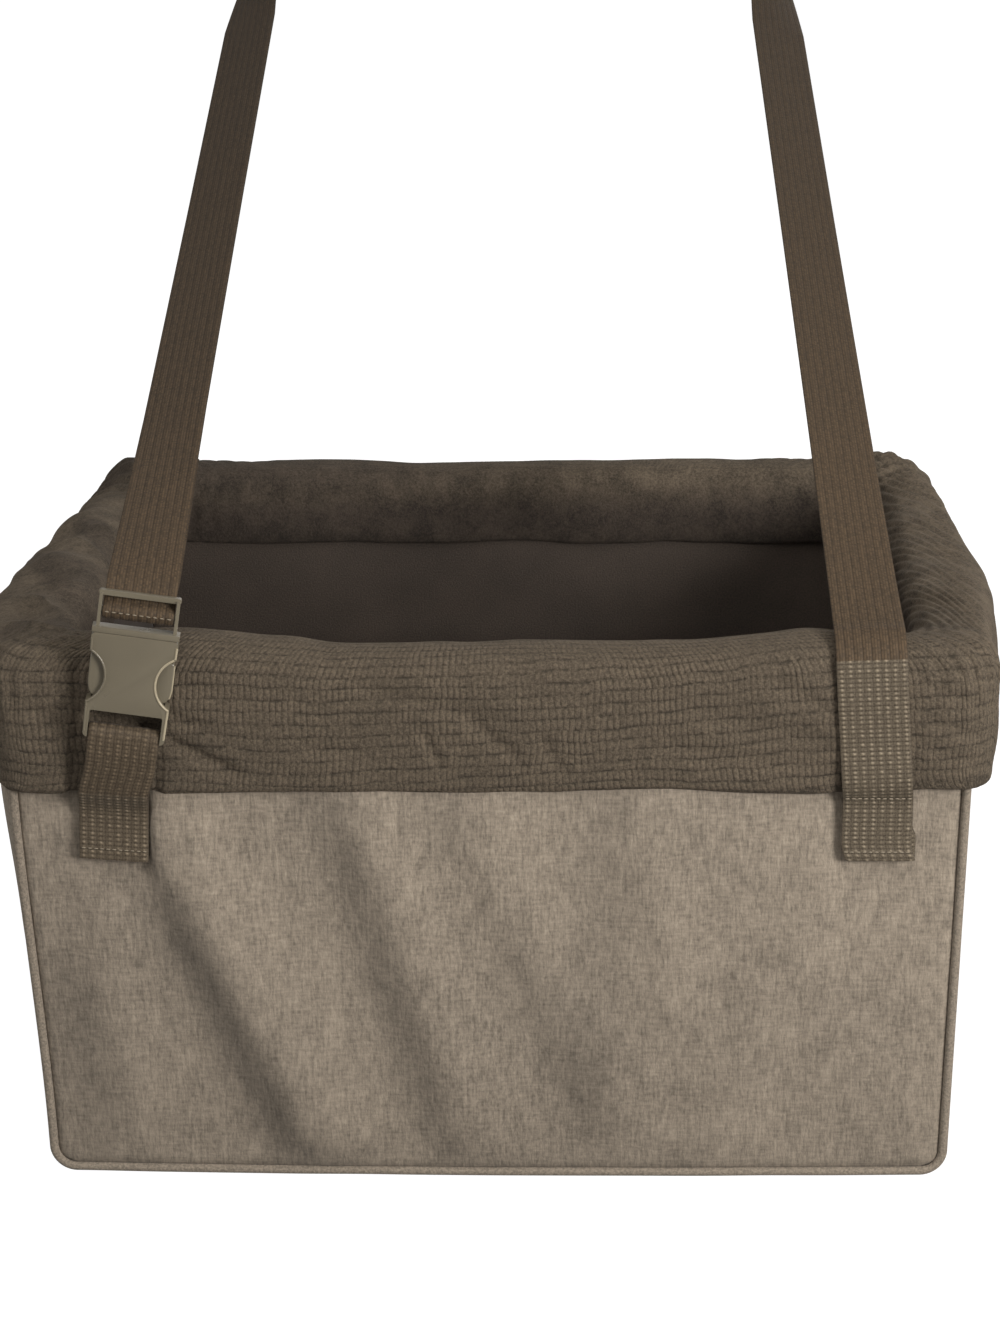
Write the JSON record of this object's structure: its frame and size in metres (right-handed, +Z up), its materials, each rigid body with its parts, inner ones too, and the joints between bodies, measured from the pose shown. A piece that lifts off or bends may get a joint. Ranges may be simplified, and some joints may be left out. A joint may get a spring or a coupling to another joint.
{
  "type": "dog car seat",
  "caption": "Fabric booster basket for a small dog, with a padded plush rim, a tube frame and a headrest strap closed by a side-release buckle.",
  "frame": {"origin": "middle of the base, on the surface that the basket stands on", "axes": "+Z up, +Y from the front towards the car seat's back and headrest, +X to the right of someone facing the front"},
  "size_m": [0.4464, 0.6091, 0.5195],
  "materials": {
    "woven_grey": "woven melange polyester, warm grey",
    "piping_grey": "piping cord covered in the same grey fabric",
    "ribbed_plush": "dark taupe ribbed plush",
    "black_lining": "plain woven lining, near black",
    "webbing_brown": "ribbed polyester webbing, dark brown",
    "buckle_plastic": "satin taupe acetal",
    "frame_plastic": "extruded rigid plastic tube",
    "connector_plastic": "moulded dark plastic",
    "board_fibre": "pressed fibre board"
  },
  "bodies": {
    "basket": {"front_panel": "woven_grey", "back_panel": "woven_grey", "left_panel": "woven_grey", "right_panel": "woven_grey", "bottom_panel": "woven_grey", "front_piping": "piping_grey", "back_piping": "piping_grey", "lining_front": "black_lining", "lining_back": "black_lining", "lining_left": "black_lining", "lining_right": "black_lining", "lining_floor": "black_lining", "base_board": "board_fibre", "collar": "ribbed_plush", "buckle_socket": "buckle_plastic", "headrest_strap": "webbing_brown", "strap_buckle_run": "webbing_brown", "buckle_loop": "webbing_brown", "connector_lower_front_left": "connector_plastic", "connector_lower_front_right": "connector_plastic", "connector_lower_rear_left": "connector_plastic", "connector_lower_rear_right": "connector_plastic", "connector_upper_front_left": "connector_plastic", "connector_upper_front_right": "connector_plastic", "connector_upper_rear_left": "connector_plastic", "connector_upper_rear_right": "connector_plastic", "post_front_left": "frame_plastic", "post_front_right": "frame_plastic", "post_rear_left": "frame_plastic", "post_rear_right": "frame_plastic", "rail_lower_front": "frame_plastic", "rail_lower_rear": "frame_plastic", "rail_lower_left": "frame_plastic", "rail_lower_right": "frame_plastic", "rail_upper_front": "frame_plastic", "rail_upper_rear": "frame_plastic", "rail_upper_left": "frame_plastic", "rail_upper_right": "frame_plastic"},
    "plug": {"buckle_plug": "buckle_plastic"},
    "prong_left": {"prong_left": "buckle_plastic"},
    "prong_right": {"prong_right": "buckle_plastic"},
    "cushion": {"floor_cushion": "ribbed_plush"}
  },
  "joints": [
    {"name": "plug_slide", "type": "slide", "parent": "basket", "child": "plug", "axis": [0.1564, 0.0262, 0.9874], "range_m": [0, 0.03], "deforming": ["strap_buckle_run", "prong_left", "prong_right"]},
    {"name": "prong_left_press", "type": "hinge", "parent": "plug", "child": "prong_left", "pos_m": [-0.16189, -0.16461, 0.25808], "axis": [0.0721, -0.9973, 0.015], "range_deg": [0, 10], "stiffness_Nm_per_rad": 0.5},
    {"name": "prong_right_press", "type": "hinge", "parent": "plug", "child": "prong_right", "pos_m": [-0.1351, -0.16274, 0.25379], "axis": [-0.0721, 0.9973, -0.015], "range_deg": [0, 10], "stiffness_Nm_per_rad": 0.5},
    {"name": "cushion_lift", "type": "slide", "parent": "basket", "child": "cushion", "axis": [0, 0, 1], "range_m": [0, 0.2]}
  ]
}
